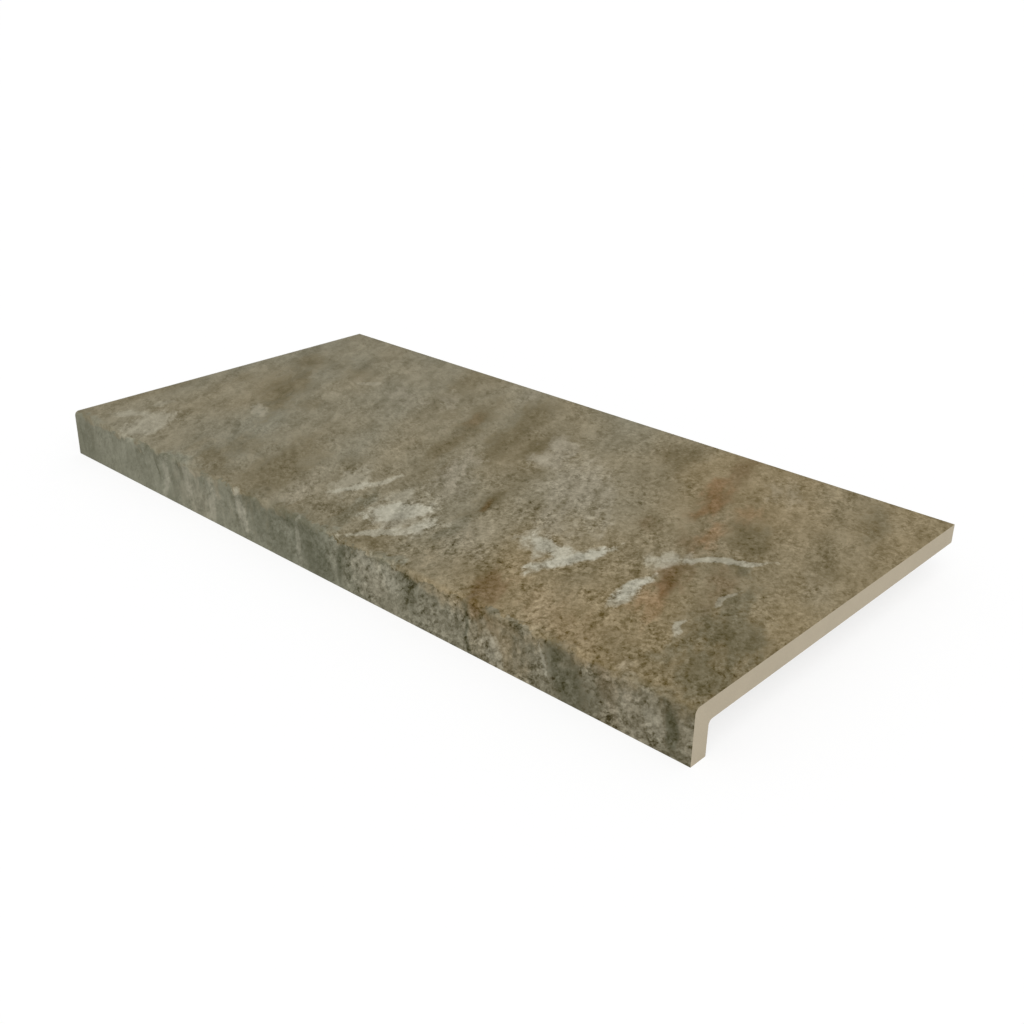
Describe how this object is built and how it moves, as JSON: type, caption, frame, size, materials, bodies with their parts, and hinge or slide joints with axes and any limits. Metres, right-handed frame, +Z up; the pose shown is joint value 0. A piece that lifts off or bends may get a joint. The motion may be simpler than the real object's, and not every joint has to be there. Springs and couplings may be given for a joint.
{
  "type": "pool step tile",
  "caption": "L-shaped stoneware step tile: a flat stone-look tread with a rounded front edge that turns down into a square nose, for pool steps and edges",
  "frame": {"origin": "under the middle of the tile, level with the foot of the nose", "axes": "+X along the nose, +Y from the nose back to the rear edge, +Z up through the walking face"},
  "size_m": [0.6, 0.3, 0.036],
  "materials": {
    "stoneware": "matt stone-look print over a pale beige body"
  },
  "bodies": {
    "root": {"step_tile": "stoneware"}
  },
  "joints": []
}
